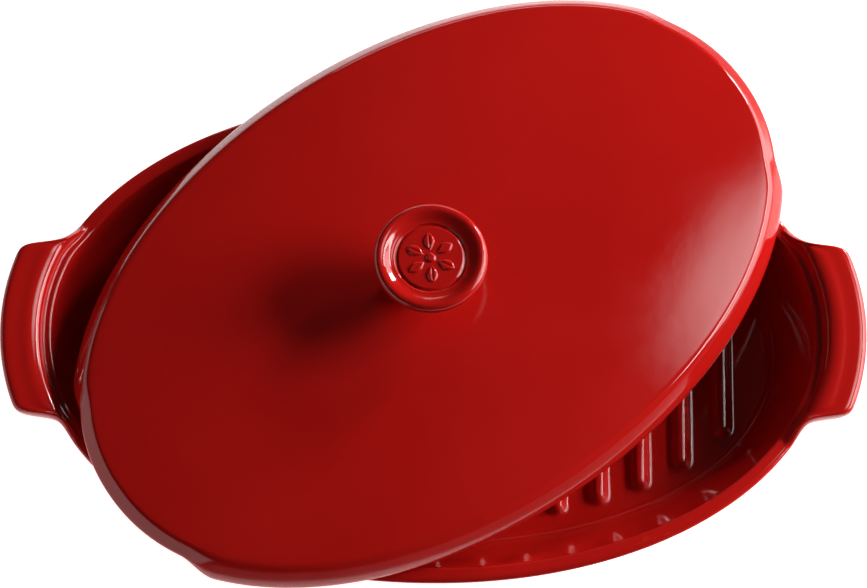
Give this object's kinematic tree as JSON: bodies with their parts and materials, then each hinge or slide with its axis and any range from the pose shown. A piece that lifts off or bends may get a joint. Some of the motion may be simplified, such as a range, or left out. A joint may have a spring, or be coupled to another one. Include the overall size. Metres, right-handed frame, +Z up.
{
  "type": "covered casserole dish",
  "caption": "Oval glazed ceramic casserole dish with tab handles and a ribbed floor, its domed lid with a round knob lying askew on the rim.",
  "frame": {"origin": "centre of the dish's flat underside, on the surface that it stands on", "axes": "+X along the dish's length towards one handle, +Y across it towards the side that the lid is set back to, +Z up"},
  "size_m": [0.4148, 0.298, 0.0966],
  "materials": {
    "dish_glaze": "gloss",
    "lid_glaze": "gloss"
  },
  "bodies": {
    "dish": {"dish": "dish_glaze"},
    "lid": {"lid": "lid_glaze", "knob": "lid_glaze"}
  },
  "joints": [
    {"name": "lid_lift", "type": "slide", "parent": "dish", "child": "lid", "axis": [0, 0, 1], "range_m": [0, 0.2]}
  ]
}
